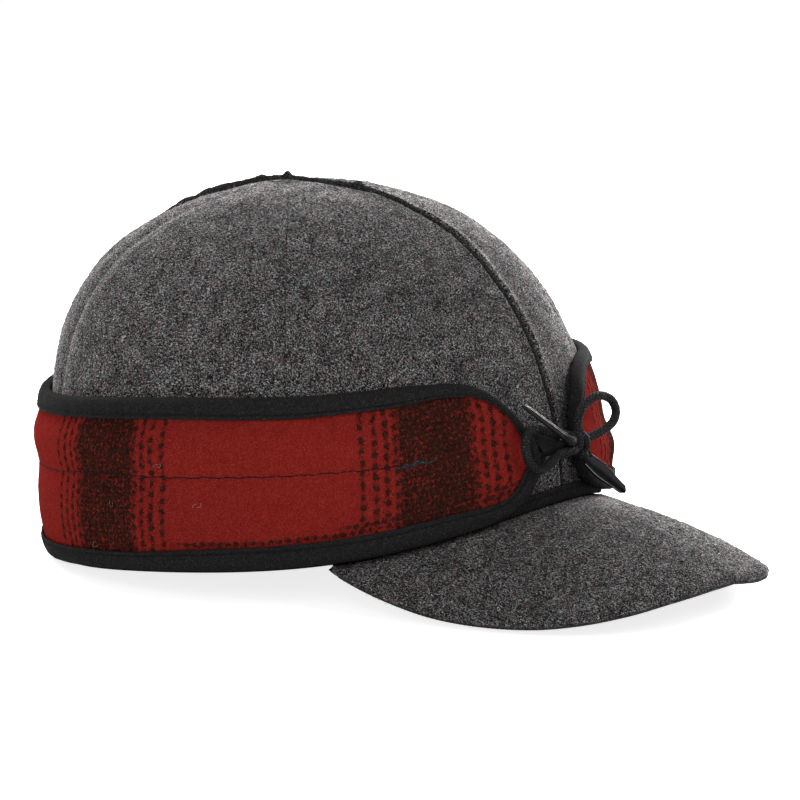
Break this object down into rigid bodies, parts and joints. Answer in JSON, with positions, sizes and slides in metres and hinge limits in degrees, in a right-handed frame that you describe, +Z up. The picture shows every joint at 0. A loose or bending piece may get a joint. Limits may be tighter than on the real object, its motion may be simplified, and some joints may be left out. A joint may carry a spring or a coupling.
{
  "type": "earflap cap",
  "caption": "Wool work cap with a panelled crown, short curved peak and a plaid earband folded up round it, bound in black and tied in front with a lace bow.",
  "frame": {"origin": "middle of the cap's plan, on the surface it rests on", "axes": "+Z up, the peak toward -Y, the wearer's right toward -X"},
  "size_m": [0.1974, 0.2712, 0.1313],
  "materials": {
    "wool_grey": "fulled wool, charcoal grey, short nap",
    "wool_plaid": "red wool with broad dark brown stripes, napped",
    "binding_black": "black bias tape",
    "seam_thread": "black overlocked thread",
    "lace_black": "black braided cord",
    "aglet_black": "glossy black"
  },
  "bodies": {
    "root": {"crown_panel_front_right": "wool_grey", "crown_panel_side_right": "wool_grey", "crown_panel_back_right": "wool_grey", "crown_panel_front_left": "wool_grey", "crown_panel_side_left": "wool_grey", "crown_panel_back_left": "wool_grey", "crown_seam": "seam_thread", "rim_binding": "binding_black", "peak": "wool_grey", "earband": "wool_plaid", "earband_binding": "binding_black", "lace_right_lead": "lace_black", "lace_left_lead": "lace_black", "lace_right_loop": "lace_black", "lace_left_loop": "lace_black", "lace_right_tail": "lace_black", "lace_left_tail": "lace_black", "lace_knot": "lace_black", "aglet_right": "aglet_black", "aglet_left": "aglet_black"}
  },
  "joints": []
}
